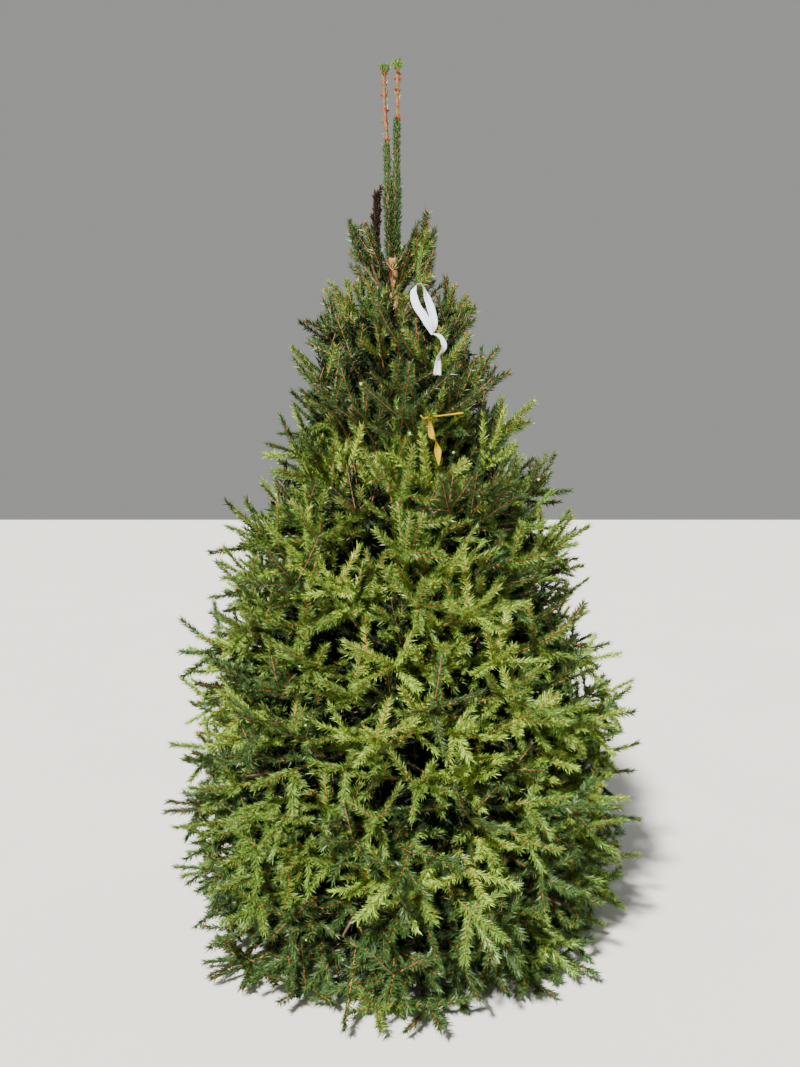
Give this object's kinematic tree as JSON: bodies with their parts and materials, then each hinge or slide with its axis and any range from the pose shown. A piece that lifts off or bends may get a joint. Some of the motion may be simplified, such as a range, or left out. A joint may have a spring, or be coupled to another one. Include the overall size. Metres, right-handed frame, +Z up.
{
  "type": "spruce tree",
  "caption": "Dense cone-shaped young spruce tree with two leaders at its top, foliage to the ground and a flat cut under its trunk.",
  "frame": {"origin": "middle of the flat cut under the trunk, at ground level", "axes": "+Z up the trunk; -Y towards the viewer of the front; +X to the right of that view"},
  "size_m": [1.8101, 1.8247, 3.1833],
  "materials": {
    "bark": "rough grey-brown bark in thin scales",
    "foliage": "dense deep green needles on rust-brown twigs",
    "young_shoot": "orange-brown young bark with pressed needles and buds",
    "dead_shoot": "blackish brown dead wood and needles",
    "ribbon": "thin white flagging tape",
    "tag": "thin yellow tape and tag"
  },
  "bodies": {
    "root": {"bough_1_1": "bark", "bough_1_2": "bark", "bough_1_3": "bark", "bough_1_4": "bark", "bough_1_5": "bark", "bough_1_6": "bark", "bough_2_1": "bark", "bough_2_2": "bark", "bough_2_3": "bark", "bough_2_4": "bark", "bough_2_5": "bark", "bough_2_6": "bark", "bough_3_1": "bark", "bough_3_2": "bark", "bough_3_3": "bark", "bough_3_4": "bark", "bough_3_5": "bark", "bough_4_1": "bark", "bough_4_2": "bark", "bough_4_3": "bark", "bough_4_4": "bark", "bough_4_5": "bark", "dead_leader": "dead_shoot", "foliage_1_1": "foliage", "foliage_1_2": "foliage", "foliage_1_3": "foliage", "foliage_1_4": "foliage", "foliage_1_5": "foliage", "foliage_1_6": "foliage", "foliage_2_1": "foliage", "foliage_2_2": "foliage", "foliage_2_3": "foliage", "foliage_2_4": "foliage", "foliage_2_5": "foliage", "foliage_2_6": "foliage", "foliage_3_1": "foliage", "foliage_3_2": "foliage", "foliage_3_3": "foliage", "foliage_3_4": "foliage", "foliage_3_5": "foliage", "foliage_4_1": "foliage", "foliage_4_2": "foliage", "foliage_4_3": "foliage", "foliage_4_4": "foliage", "foliage_4_5": "foliage", "foliage_5_1": "foliage", "foliage_5_2": "foliage", "foliage_5_3": "foliage", "foliage_5_4": "foliage", "foliage_6_1": "foliage", "foliage_6_2": "foliage", "foliage_6_3": "foliage", "left_leader": "young_shoot", "right_leader": "young_shoot", "trunk": "bark"}
  },
  "joints": []
}
